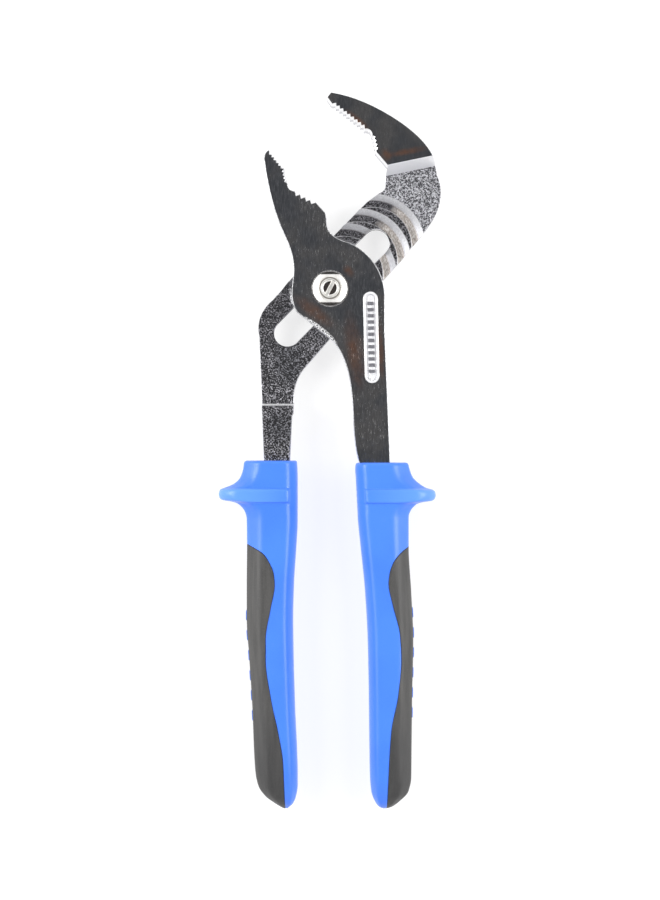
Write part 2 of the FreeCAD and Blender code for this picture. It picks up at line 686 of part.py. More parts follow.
RIGHT_ROWS = [
    (-60.6, 9.0, 27.5, 8.6),
    (-63.0, 8.8, 27.6, 9.0),
    (-79.4, 9.7, 27.5, 9.0),
    (-89.9, 10.8, 27.5, 9.0),
    (-99.4, 11.9, 28.1, 9.0),
    (-119.5, 13.1, 29.1, 9.0),
    (-137.8, 13.5, 28.8, 9.0),
    (-155.6, 13.7, 28.5, 9.0),
    (-170.5, 13.9, 28.4, 8.6),
    (-175.6, 14.4, 27.5, 7.6),
    (-178.7, 15.4, 24.8, 6.2),
    (-181.6, 17.6, 21.0, 2.8),
]
LEFT_ROWS = [
    (-59.9, -11.8, -30.0, 8.6),
    (-63.0, -11.4, -30.1, 9.0),
    (-79.4, -11.3, -29.2, 9.0),
    (-89.2, -11.7, -29.0, 9.0),
    (-101.7, -12.6, -29.1, 9.0),
    (-115.0, -12.9, -29.1, 9.0),
    (-133.3, -12.6, -28.0, 9.0),
    (-150.0, -12.1, -27.1, 9.0),
    (-168.0, -11.3, -26.2, 8.6),
    (-174.0, -11.4, -24.8, 7.6),
    (-178.0, -12.0, -21.5, 6.0),
    (-181.6, -14.2, -16.9, 2.6),
]
RIGHT_SEAM = [
    (23.5, -93.2),
    (20.3, -102.6),
    (23.1, -115.0),
    (24.8, -128.9),
    (22.6, -146.7),
    (20.4, -166.7),
]
LEFT_SEAM = [
    (-23.1, -92.3),
    (-19.1, -103.0),
    (-21.3, -115.0),
    (-22.4, -126.0),
    (-19.1, -148.5),
    (-16.2, -164.5),
]
RIGHT_MARKS = [(-113, 28.8), (-120, 29.1), (-127, 29.0), (-134, 28.9), (-141, 28.8), (-148, 28.6)]
LEFT_MARKS = [(-114, -29.1), (-121, -28.8), (-128, -28.3), (-135, -27.9), (-142, -27.5), (-149, -27.2)]


front = front_lever()
rear = rear_lever()
bolt = pivot_bolt()
washer = pivot_washer()
nut = pivot_nut()

right_guard = guard_form("right_guard", 8.7, 27.5, 36.9)
left_guard = guard_form("left_guard", -10.9, -29.9, -38.9)
right_seam = Outline(45, -89.3).line(28.6, -89.3)
right_seam.curve(*RIGHT_SEAM).line(19.8, -190).line(45, -190)
left_seam = Outline(-45, -88.7).line(-30.2, -88.7)
left_seam.curve(*LEFT_SEAM).line(-15.8, -190).line(-45, -190)
right_marks = mark_outlines(RIGHT_MARKS, 1)
left_marks = mark_outlines(LEFT_MARKS, -1)
right_sleeve, right_inlay = grip("right", RIGHT_ROWS, right_guard, right_seam, right_marks, front)
left_sleeve, left_inlay = grip("left", LEFT_ROWS, left_guard, left_seam, left_marks, rear)

nodes = [front, rear, bolt, washer, nut, right_sleeve, right_inlay, left_sleeve, left_inlay]
doc.recompute()
for thing in doc.Objects:
    if "Invalid" in thing.State or "Error" in thing.State:
        raise ValueError(f"{thing.Label} did not build")
os.makedirs("parts", exist_ok=True)
for node in nodes:
    if node.Shape.isNull() or not node.Shape.isValid():
        raise ValueError(f"{node.Label} has no sound shape")
    print(node.Label, round(node.Shape.Volume, 1), len(node.Shape.Solids), node.Shape.BoundBox)
    node.Shape.exportStep(f"parts/{node.Label}.step")
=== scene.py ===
import json
import math

import bmesh
import bpy
import numpy as np
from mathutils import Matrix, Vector


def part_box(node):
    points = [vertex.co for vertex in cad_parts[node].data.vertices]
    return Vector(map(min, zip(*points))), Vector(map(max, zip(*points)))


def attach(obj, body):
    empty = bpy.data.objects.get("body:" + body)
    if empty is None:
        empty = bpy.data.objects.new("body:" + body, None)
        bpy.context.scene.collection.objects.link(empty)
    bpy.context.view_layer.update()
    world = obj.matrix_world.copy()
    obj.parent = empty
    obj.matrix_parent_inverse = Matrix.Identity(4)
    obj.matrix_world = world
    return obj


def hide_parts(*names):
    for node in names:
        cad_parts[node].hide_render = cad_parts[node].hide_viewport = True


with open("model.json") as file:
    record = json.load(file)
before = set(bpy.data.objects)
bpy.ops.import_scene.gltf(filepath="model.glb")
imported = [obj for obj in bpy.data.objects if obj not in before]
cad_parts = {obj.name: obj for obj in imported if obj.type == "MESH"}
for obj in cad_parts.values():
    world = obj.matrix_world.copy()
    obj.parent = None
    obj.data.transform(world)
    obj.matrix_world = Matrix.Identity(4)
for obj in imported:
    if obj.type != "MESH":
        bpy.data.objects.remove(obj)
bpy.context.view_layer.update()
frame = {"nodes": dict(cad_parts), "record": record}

MM = 0.001
NODES = frame["nodes"]


def level_of(node, end):
    """The height of a node's lowest (0) or highest (1) point, in millimetres."""
    return round(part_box(node)[end][2] / MM, 2)


# Heights: the levers' backs and faces, the panel's rim, the joint plane and each lever's lapped face.
BACK = level_of("rear_lever", 0)
FACE = level_of("rear_lever", 1)
RIM = level_of("front_lever", 1)
MID_HEIGHT = (BACK + FACE) / 2
FACE_GAP = 0.1
FRONT_LAP = MID_HEIGHT + FACE_GAP
REAR_LAP = MID_HEIGHT - FACE_GAP
SLOT_X, SLOT_Y, _ = frame["record"]["behaviour"]["joints"][0]["axis"]

# Each grip is drawn in millimetres with outward distances: away from the middle of the tool.
# A row holds: place along Y, inner side, outer side, half the thickness, rise of the guard's rib.
RIGHT_GRIP = {
    "side": 1,
    "body": "front_lever_body",
    "rows": [
        (-60.6, 9.8, 26.7, 8.1, 0.0),
        (-60.9, 9.2, 27.2, 8.7, 0.0),
        (-61.6, 8.9, 27.5, 9.0, 0.0),
        (-62.8, 8.8, 27.8, 9.0, 0.0),
        (-65.6, 9.0, 28.9, 9.0, 0.0),
        (-67.8, 9.1, 31.1, 9.0, 0.0),
        (-69.5, 9.2, 33.9, 9.0, 0.0),
        (-70.1, 9.2, 36.0, 9.0, 0.8),
        (-70.8, 9.3, 36.8, 9.0, 0.94),
        (-72.0, 9.3, 37.0, 9.0, 0.94),
        (-73.2, 9.4, 36.7, 9.0, 0.94),
        (-73.9, 9.4, 35.8, 9.0, 0.94),
        (-74.4, 9.4, 32.6, 9.0, 0.8),
        (-75.0, 9.5, 30.5, 9.0, 0.0),
        (-75.8, 9.5, 29.5, 9.0, 0.0),
        (-77.0, 9.6, 28.4, 9.0, 0.0),
        (-79.6, 9.7, 27.5, 9.0, 0.0),
        (-89.9, 10.7, 27.5, 9.0, 0.0),
        (-106.1, 12.3, 28.4, 9.0, 0.0),
        (-122.5, 13.2, 29.1, 9.0, 0.0),
        (-142.2, 13.6, 28.7, 9.0, 0.0),
        (-160.0, 13.8, 28.5, 8.9, 0.0),
        (-170.5, 14.0, 28.4, 8.5, 0.0),
        (-175.4, 14.4, 27.4, 7.6, 0.0),
        (-178.6, 15.5, 24.6, 6.2, 0.0),
        (-180.9, 17.1, 21.7, 3.6, 0.0),
        (-181.6, 18.4, 20.1, 1.2, 0.0),
    ],
    "seam": [
        (-89.3, 28.2),
        (-91.0, 25.8),
        (-93.2, 23.5),
        (-95.9, 21.7),
        (-99.4, 20.6),
        (-102.6, 20.3),
        (-109.7, 21.7),
        (-120.9, 24.4),
        (-128.9, 24.8),
        (-141.3, 23.7),
        (-153.4, 21.3),
        (-166.7, 20.4),
        (-181.7, 19.8),
    ],
    "shank": (15.75, 5.6),
    "marks": [-113.0, -120.0, -127.0, -134.0, -141.0, -148.0],
}
LEFT_GRIP = {
    "side": -1,
    "body": "rear_lever_body",
    "rows": [
        (-59.9, 12.0, 29.2, 8.1, 0.0),
        (-60.2, 11.6, 29.8, 8.7, 0.0),
        (-60.9, 11.5, 30.1, 9.0, 0.0),
        (-62.5, 11.4, 30.3, 9.0, 0.0),
        (-66.1, 11.3, 31.6, 9.0, 0.0),
        (-68.3, 11.3, 34.2, 9.0, 0.0),
        (-69.4, 11.3, 37.0, 9.0, 0.0),
        (-70.0, 11.3, 38.4, 9.0, 0.8),
        (-70.7, 11.3, 38.8, 9.0, 0.94),
        (-71.7, 11.3, 38.95, 9.0, 0.94),
        (-72.8, 11.3, 38.7, 9.0, 0.94),
        (-73.6, 11.3, 37.8, 9.0, 0.94),
        (-74.2, 11.3, 34.4, 9.0, 0.8),
        (-74.8, 11.3, 32.5, 9.0, 0.0),
        (-75.4, 11.3, 31.6, 9.0, 0.0),
        (-77.6, 11.3, 29.8, 9.0, 0.0),
        (-80.3, 11.3, 29.1, 9.0, 0.0),
        (-90.5, 11.8, 29.0, 9.0, 0.0),
        (-103.0, 12.6, 29.1, 9.0, 0.0),
        (-115.0, 12.9, 29.1, 9.0, 0.0),
        (-128.9, 12.7, 28.2, 9.0, 0.0),
        (-146.7, 12.2, 27.1, 9.0, 0.0),
        (-162.0, 11.5, 26.5, 8.8, 0.0),
        (-169.0, 11.3, 26.0, 8.4, 0.0),
        (-173.5, 11.3, 25.0, 7.7, 0.0),
        (-177.0, 11.8, 22.6, 6.6, 0.0),
        (-179.6, 12.8, 19.3, 4.6, 0.0),
        (-181.2, 14.4, 17.0, 2.0, 0.0),
        (-181.6, 15.1, 16.3, 1.0, 0.0),
    ],
    "seam": [
        (-88.6, 29.6),
        (-90.3, 26.2),
        (-92.3, 23.1),
        (-95.5, 20.9),
        (-99.0, 19.5),
        (-103.0, 19.1),
        (-111.0, 20.5),
        (-122.2, 22.3),
        (-128.9, 22.3),
        (-142.2, 20.5),
        (-154.7, 17.8),
        (-164.5, 16.2),
        (-181.7, 15.6),
    ],
    "shank": (18.45, 4.75),
    "marks": [-114.0, -121.0, -128.0, -135.0, -142.0, -149.0],
}

# A grip's mesh: spacing of its rings, angles round a ring, and angles of the bed under the skin.
ROW_STEP = 0.6
ROUND = np.radians(np.arange(0, 361, 2.0))
BED = ROUND[::2] - math.pi

# A grip's section: how square it is, its facets and flat sides as shares, and how far out its middle goes.
SECTION_SHARPNESS = 20
INNER_FACET = 0.32
OUTER_FACET = 0.52
SIDE_FLAT = 0.52
MIDDLE_REACH = 18.8

# The guard's rib: distance from the inner side, run of its slope, and the share of the height it rises over.
RIB_INSET = 2.4
RIB_SLOPE = 0.7
RIB_EDGE = (0.35, 0.8)

# A sleeve's open end: how deep it is, its lip, the insets of its rim, and the shank's half height in it.
COLLAR_DEPTH = 3.0
COLLAR_LIP = 0.25
END_INSETS = (2.0, 0.25)
SHANK_HALF = 5.55
SHANK_SHARPNESS = 24

# The seam between the two plastics, and how deep each goes under it.
SEAM_WIDTH = 0.28
SEAM_DEPTH = 0.30
BED_DEPTH = 1.8
INLAY_DEPTH = 1.65

# A raised mark, and its rounded side as shares of its size and of its rise.
MARK_LENGTH = 3.6
MARK_HALF_WIDTH = 2.5
MARK_RISE = 0.3
MARK_SHARPNESS = 6
MARK_PROFILE = [(1.0, -0.8), (1.0, 0.5), (0.94, 0.85), (0.82, 1.0), (0.4, 1.0)]

# Broken edges: the longest mitre as a multiple of the chamfer, edges to merge, and faces to shade smooth.
LONGEST_MITRE = 2.0
TINY_EDGE = 0.09
SLOPE_AREA = 8.0

GRINDING_DEPTH = 0.006
FLOOR_DROP = 0.3
NOWHERE = 1e3

# Painted warm reflections on the ground faces: place, half sizes and direction in the XY plane.
FRONT_WARM_REFLECTIONS = [
    ((-5.5, -8.0), (11.0, 3.4), -38),
    ((8.5, -22.0), (4.2, 17.0), 8),
    ((17.8, -22.0), (1.6, 14.0), 2),
    ((6.5, 6.0), (3.2, 2.2), -50),
]
REAR_WARM_REFLECTIONS = [
    ((26.5, 47.6), (11.0, 1.7), 11),
    ((9.5, 58.6), (7.0, 1.8), -40),
    ((19.5, 46.5), (2.6, 3.4), 30),
]

# Painted highlights, bright places of lit edges: place, half sizes and direction in the XY plane.
LIT_EDGE_BAND = ((-3.7, -14.4), (8.4, 1.5), -38)
EDGE_HALO = ((-13.5, -2.2), (0.9, 4.6), 8)

# Painted shade on the rear lever's blasted face, where it reflects darker, in the same form.
SHADED_PATCHES = [
    ((-14.5, -25.0), (6.5, 9.5), 0),
    ((-17.0, -48.0), (6.0, 6.5), 0),
]

# Where a finish or a painted highlight changes, in the XY plane: the upper groove's centre and outer radius,
# the grooves' left end, the ramp's lower edge, the panel's corners, and along Y the rear shank's step, which
# takes a painted highlight, and the guards.
LAST_GROOVE = (14.93, 15.19)
LAST_GROOVE_RADIUS = 18.4
GROOVES_LEFT = -13.1
RAMP_SLOPE = 0.207
RAMP_EDGE = 35.58
PANEL_LOW = (10.5, -33.3)
PANEL_HIGH = (18.2, -0.8)
SHANK_STEP = (-40.8, -39.6)
GUARD = (-75.2, -69.2)


def smooth_through(rows, step):
    """Rows at about that spacing on a monotone cubic through the given rows."""
    rows = np.array(rows, dtype=float)
    span = np.abs(np.diff(rows[:, 0]))
    travel = np.concatenate([[0], np.cumsum(np.hypot(span, np.abs(np.diff(rows[:, 2]))))])
    gap = np.diff(travel)[:, None]
    slope = np.diff(rows, axis=0) / gap
    before, after = slope[:-1], slope[1:]
    inner = np.where(before * after > 0, 2 * before * after / (before + after + 1e-12), 0)
    tangent = np.vstack([slope[:1], inner, slope[-1:]])
    result = []
    for k in range(len(rows) - 1):
        count = max(3, math.ceil(gap[k, 0] / step))
        for t in np.arange(count) / count:
            a = 2 * t**3 - 3 * t**2 + 1
            b = t**3 - 2 * t**2 + t
            bend = b * tangent[k] + (t**3 - t**2) * tangent[k + 1]
            result.append(a * rows[k] + (1 - a) * rows[k + 1] + gap[k, 0] * bend)
    result.append(rows[-1])
    return np.array(result)


def step_between(value, low, high):
    """0 below low, 1 above high, smooth between."""
    t = np.clip((value - low) / (high - low), 0, 1)
    return t * t * (3 - 2 * t)


def norm_radius(angle, wide, tall, power):
    """The polar radius of a rounded rectangle."""
    return (np.abs(np.cos(angle) / wide) ** power + np.abs(np.sin(angle) / tall) ** power) ** (-1 / power)


def section(row, angle, inset=0.0):
    """Points of a grip's section: outward distance and height. Angle 0 points outward."""
    _, inner, outer, half, rise = row
    middle = (inner + min(outer, inner + MIDDLE_REACH)) / 2
    across, up = np.abs(np.cos(angle)), np.abs(np.sin(angle))
    outward = np.cos(angle) > 0
    wide = np.where(outward, outer - middle, middle - inner)
    facet = np.where(outward, OUTER_FACET, INNER_FACET) * np.minimum(wide, middle - inner)
    flat = SIDE_FLAT * half
    lean = wide + facet * flat / (half - flat)
    rest = (half - flat) * lean / facet
    power = SECTION_SHARPNESS
    shape = (across / wide) ** power + (up / half) ** power + (across / lean + up / rest) ** power
    radius = shape ** (-1 / power) - inset
    x = middle + radius * np.cos(angle)
    rib = rise * step_between(x, inner + RIB_INSET, inner + RIB_INSET + RIB_SLOPE)
    z = radius * np.sin(angle)
    lift = rib * step_between(np.abs(z), half * RIB_EDGE[0], half * RIB_EDGE[1])
    return x, z + np.sign(z) * lift


def seam_angle(row, seam_x):
    """Where on its section the seam lies: 0 while the seam is outside the grip."""
    angles = np.linspace(0, math.pi, 721)
    x, _ = section(row, angles)
    if seam_x >= x[0] - 0.02:
        return 0.0
    return float(np.interp(-seam_x, -x, angles))


def to_points(grip, y, x, z):
    side = grip["side"]
    pairs = zip(np.atleast_1d(x), np.atleast_1d(z))
    return [(side * a * MM, y * MM, (MID_HEIGHT + b) * MM) for a, b in pairs]


def skin(name, rings):
    """A closed mesh through rings of the same number of points, with both ends capped."""
    mesh = bpy.data.meshes.new(name)
    bm = bmesh.new()
    layers = [[bm.verts.new(point) for point in ring] for ring in rings]
    count = len(layers[0])
    for low, high in zip(layers, layers[1:]):
        for k in range(count):
            quad = [low[k], low[(k + 1) % count], high[(k + 1) % count], high[k]]
            bm.faces.new(quad)
    bm.faces.new(reversed(layers[0]))
    bm.faces.new(layers[-1])
    bmesh.ops.remove_doubles(bm, verts=bm.verts, dist=2e-6)
    bmesh.ops.dissolve_degenerate(bm, edges=bm.edges, dist=1e-6)
    bmesh.ops.recalc_face_normals(bm, faces=bm.faces)
    for face in bm.faces:
        face.smooth = True
    bm.to_mesh(mesh)
    bm.free()
    thing = bpy.data.objects.new(name, mesh)
    bpy.context.scene.collection.objects.link(thing)
    return thing


def grip_rows(grip):
    """Dense rows with the seam's angle on each."""
    rows = smooth_through(grip["rows"], ROW_STEP)
    seam = smooth_through([(y, 0, x) for y, x in grip["seam"]], ROW_STEP / 2)
    order = np.argsort(seam[:, 0])
    seam_x = np.interp(rows[:, 0], seam[order, 0], seam[order, 2])
    seam_x[rows[:, 0] > grip["seam"][0][0]] = NOWHERE
    angles = [seam_angle(row, x) for row, x in zip(rows, seam_x)]
    return rows, np.array(angles)


def held(angles, start, stop, row):
    """The angles kept between two ends, then the ends themselves."""
    margin = min(SEAM_WIDTH / max(row[3], 2.0), (stop - start) / 6)
    return np.concatenate([[start], np.clip(angles, start + margin, stop - margin), [stop]])


def seam_ring(grip, row, seam, skin_angles, bed_angles, bed_depth):
    """One ring of a sleeve or an inlay: its skin, with ends that dip into the seam, and its hidden bed."""
    dip = np.zeros(len(skin_angles))
    if seam > 0:
        dip[0] = dip[-1] = SEAM_DEPTH
    depth = bed_depth * min(1.0, seam * 4)
    x, z = section(row, skin_angles, dip)
    bed_x, bed_z = section(row, bed_angles, depth)
    return to_points(grip, row[0], np.concatenate([x, bed_x]), np.concatenate([z, bed_z]))


def make_sleeve(grip, name):
    rows, seams = grip_rows(grip)
    whole = held(ROUND, 0, 2 * math.pi, rows[0])
    angle = np.concatenate([whole, np.zeros(len(BED))])
    centre, half = grip["shank"]
    radius = norm_radius(angle, half, SHANK_HALF, SHANK_SHARPNESS)
    rings = []
    for depth in (COLLAR_DEPTH, COLLAR_LIP):
        y = rows[0, 0] - depth
        rings.append(to_points(grip, y, centre + radius * np.cos(angle), radius * np.sin(angle)))
    for inset in END_INSETS:
        rings.append(to_points(grip, rows[0, 0], *section(rows[0], angle, inset)))
    for row, seam in zip(rows, seams):
        around = held(ROUND, seam, 2 * math.pi - seam, row)
        rings.append(seam_ring(grip, row, seam, around, np.clip(BED, -seam, seam), BED_DEPTH))
    return skin(name, rings)


def make_inlay(grip, name):
    rows, seams = grip_rows(grip)
    live = np.flatnonzero(seams > 0)
    rings = []
    for k in range(live[0] - 1, min(live[-1] + 2, len(rows))):
        row, seam = rows[k], seams[k]
        across = held(ROUND - math.pi, -seam, seam, row)
        rings.append(seam_ring(grip, row, seam, across, np.clip(-BED, -seam, seam), INLAY_DEPTH))
    return skin(name, rings)


def make_marks(grip, name):
    """Plain raised bars of the sleeve's plastic that show through the inlay."""
    rows, _ = grip_rows(grip)
    order = np.argsort(rows[:, 0])
    marks = []
    for number, centre in enumerate(grip["marks"]):
        rings = []
        for size, rise in MARK_PROFILE:
            angle = np.linspace(0, 2 * math.pi, 33)[:-1]
            radius = norm_radius(angle, MARK_LENGTH / 2 * size, MARK_HALF_WIDTH * size, MARK_SHARPNESS)
            ring = []
            for along, up in zip(radius * np.cos(angle), radius * np.sin(angle)):
                y = centre + along
                row = [np.interp(y, rows[order, 0], rows[order, k]) for k in range(5)]
                turn = math.atan2(up, (row[2] - row[1]) / 2)
                x, z = section(row, np.array([turn]), -MARK_RISE * rise)
                ring += to_points(grip, y, x, z)
            rings.append(ring)
        marks.append(skin(f"{name}_{number}", rings))
    return marks


def join(target, others):
    """Make several meshes one piece."""
    bpy.ops.object.select_all(action="DESELECT")
    for thing in [*others, target]:
        thing.select_set(True)
    bpy.context.view_layer.objects.active = target
    bpy.ops.object.join()


def sharpen(thing, angle):
    """Smooth shading with hard edges above an angle."""
    thing.data.set_sharp_from_angle(angle=math.radians(angle))


class Finish:
    """A Principled material, and short ways to wire its nodes. Sizes and places are in millimetres."""

    def __init__(self, name, **values):
        self.material = bpy.data.materials.new(name)
        self.material.use_nodes = True
        self.tree = self.material.node_tree
        self.shader = self.tree.nodes["Principled BSDF"]
        for socket, value in values.items():
            self.shader.inputs[socket.replace("_", " ")].default_value = value
        self.place = self.add("ShaderNodeTexCoord").outputs["Object"]

    def add(self, kind, **settings):
        node = self.tree.nodes.new(kind)
        for key, value in settings.items():
            setattr(node, key, value)
        return node

    def plug(self, socket, value):
        if isinstance(value, bpy.types.NodeSocket):
            self.tree.links.new(value, socket)
        else:
            socket.default_value = value

    def drive(self, name, value):
        self.plug(self.shader.inputs[name], value)

    def stretch(self, scale, turn=0.0):
        node = self.add("ShaderNodeMapping")
        node.inputs["Scale"].default_value = scale
        node.inputs["Rotation"].default_value = (0, 0, math.radians(turn))
        self.plug(node.inputs["Vector"], self.place)
        return node.outputs["Vector"]

    def noise(self, size, detail=2.0, roughness=0.5, where=None):
        """Noise with features of about that size."""
        node = self.add("ShaderNodeTexNoise")
        self.plug(node.inputs["Vector"], where or self.place)
        node.inputs["Scale"].default_value = 1 / (size * MM)
        node.inputs["Detail"].default_value = detail
        node.inputs["Roughness"].default_value = roughness
        return node.outputs["Fac"]

    def math(self, operation, first, second=0.0):
        node = self.add("ShaderNodeMath", operation=operation)
        self.plug(node.inputs[0], first)
        self.plug(node.inputs[1], second)
        return node.outputs[0]

    def level(self, value, low, high, start=0.0, stop=1.0):
        """Map low to start and high to stop, and hold outside."""
        node = self.add("ShaderNodeMapRange", interpolation_type="SMOOTHSTEP")
        self.plug(node.inputs["Value"], value)
        for name, number in (("From Min", low), ("From Max", high), ("To Min", start), ("To Max", stop)):
            self.plug(node.inputs[name], number)
        return node.outputs["Result"]

    def over(self, value, place, soft):
        """0 where a coordinate is below that place, and 1 from a little above it."""
        return self.level(value, place * MM, (place + soft) * MM)

    def under(self, value, place, soft):
        """1 where a coordinate is below that place, and 0 from a little above it."""
        return self.level(value, (place + soft) * MM, place * MM)

    def blend(self, share, first, second):
        """Colours mixed by a share."""
        node = self.add("ShaderNodeMix", data_type="RGBA")
        self.plug(node.inputs["Factor"], share)
        for socket, value in ((node.inputs[6], first), (node.inputs[7], second)):
            self.plug(socket, value if isinstance(value, bpy.types.NodeSocket) else (*value, 1.0))
        return node.outputs[2]

    def mix(self, share, first, second):
        """Numbers mixed by a share."""
        node = self.add("ShaderNodeMix", data_type="FLOAT")
        for socket, value in zip(node.inputs[:4], (share, None, first, second)):
            if value is not None:
                self.plug(socket, value)
        return node.outputs[0]

    def reach(self, centre, size, turn=0.0):
        """Distance on the XY plane from a place: 1 on the edge of a turned ellipse of those half sizes."""
        node = self.add("ShaderNodeMapping", vector_type="TEXTURE")
        node.inputs["Location"].default_value = (centre[0] * MM, centre[1] * MM, 0)
        node.inputs["Rotation"].default_value = (0, 0, math.radians(turn))
        node.inputs["Scale"].default_value = (size[0] * MM, size[1] * MM, NOWHERE)
        self.plug(node.inputs["Vector"], self.place)
        length = self.add("ShaderNodeVectorMath", operation="LENGTH")
        self.plug(length.inputs[0], node.outputs["Vector"])
        return length.outputs["Value"]

    def all_of(self, *masks):
        result = masks[0]
        for mask in masks[1:]:
            result = self.math("MULTIPLY", result, mask)
        return result

    def split(self):
        node = self.add("ShaderNodeSeparateXYZ")
        self.plug(node.inputs[0], self.place)
        return node.outputs

    def bump(self, height, depth, base=None):
        """Relief: height 0 to 1 stands for that depth, on top of a base relief."""
        node = self.add("ShaderNodeBump")
        node.inputs["Strength"].default_value = 1.0
        node.inputs["Distance"].default_value = depth * MM
        self.plug(node.inputs["Height"], height)
        if base:
            self.plug(node.inputs["Normal"], base)
        return node.outputs["Normal"]


def ground_chrome(finish, streak_turn, warm_reflections, wear):
    """Colour, roughness and relief of a ground, chromed face with fine nicks and painted warm reflections.

    Wear, from 0 to 1, is how much the nicks and the brushing show.
    """
    lines = finish.noise(1.0, 3.0, 0.6, finish.stretch((5.0, 0.3, 1.0), streak_turn))
    nicks = finish.noise(1.0, 2.0, 0.6, finish.stretch((4.2, 0.6, 1.0), streak_turn + 4))
    patch = finish.level(finish.noise(9.0, 2.0), 0.35, 0.65)
    nicks = finish.math("MULTIPLY", finish.level(nicks, 0.55, 0.8), finish.mix(patch, 0.2 * wear, 0.8 * wear))
    colour = finish.blend(patch, (0.38, 0.40, 0.43), (0.56, 0.55, 0.54))
    brushing = finish.noise(1.0, 3.0, 0.65, finish.stretch((3.2, 0.45, 1.0), streak_turn))
    colour = finish.blend(finish.level(brushing, 0.42, 0.72, 0.0, 0.5 * wear), colour, (0.85, 0.86, 0.9))
    ragged = finish.level(finish.noise(3.0, 3.0, 0.6), 0.25, 0.75, 0.35, 1.0)
    # Painted warm reflections: warm patches with ragged edges blended into the colour.
    for centre, size, turn in warm_reflections:
        share = finish.math("MULTIPLY", finish.level(finish.reach(centre, size, turn), 1.0, 0.0), ragged)
        colour = finish.blend(share, colour, (0.92, 0.50, 0.34))
    colour = finish.blend(finish.math("MULTIPLY", nicks, 0.6), colour, (0.9, 0.9, 0.9))
    roughness = finish.level(lines, 0.3, 0.7, 0.16, 0.22)
    roughness = finish.math("ADD", roughness, finish.math("MULTIPLY", nicks, 0.22))
    return colour, roughness, lines


def front_steel():
    finish = Finish("front_lever_chrome", Metallic=1.0)
    x, y, z = finish.split()
    colour, roughness, relief = ground_chrome(finish, 0, FRONT_WARM_REFLECTIONS, 1.0)
    along = finish.all_of(finish.over(y, PANEL_LOW[1], 0.1), finish.under(y, PANEL_HIGH[1] - 0.1, 0.1))
    beside = finish.all_of(finish.over(x, PANEL_LOW[0], 0.1), finish.under(x, PANEL_HIGH[0] - 0.1, 0.1))
    sunk = finish.all_of(finish.under(z, FACE - 0.06, 0.04), finish.over(z, FACE - 1.1, 0.1), along, beside)
    bars = finish.all_of(sunk, finish.over(z, FACE - 0.44, 0.04))
    cast = finish.noise(0.45, 2.0, 0.6)
    # Painted highlight: a bright speckled band along a lit edge, shown with the panel's raised rim in the
    # same bright colour.
    edge = finish.math("ADD", finish.reach(*LIT_EDGE_BAND), finish.math("MULTIPLY", cast, 0.5))
    lit_edge_share = finish.all_of(finish.level(edge, 1.25, 1.05), finish.level(cast, 0.42, 0.56))
    rim_and_edge_highlight = finish.math("MAXIMUM", lit_edge_share, finish.over(z, FACE + 0.04, 0.04))
    side = finish.all_of(finish.under(z, FACE - 0.03, 0.02), finish.math("SUBTRACT", 1.0, sunk))
    flank = finish.blend(finish.level(cast, 0.35, 0.62), (0.46, 0.46, 0.48), (0.90, 0.90, 0.91))
    colour = finish.blend(side, colour, flank)
    colour = finish.blend(rim_and_edge_highlight, colour, (0.93, 0.93, 0.94))
    colour = finish.blend(sunk, colour, (0.93, 0.93, 0.95))
    # Painted shade: the raised bars in the sunk panel are coloured dark, for the shading of raised letters.
    colour = finish.blend(bars, colour, (0.20, 0.20, 0.22))
    finish.drive("Base Color", colour)
    roughness = finish.mix(finish.math("MAXIMUM", rim_and_edge_highlight, side), roughness, 0.55)
    finish.drive("Roughness", finish.mix(sunk, roughness, finish.level(cast, 0.3, 0.7, 0.42, 0.6)))
    brushed = finish.bump(relief, GRINDING_DEPTH)
    rough_part = finish.math("MAXIMUM", sunk, finish.math("MULTIPLY", side, 0.5))
    finish.drive("Normal", finish.bump(finish.mix(rough_part, 0.5, cast), 0.16, brushed))
    return finish.material


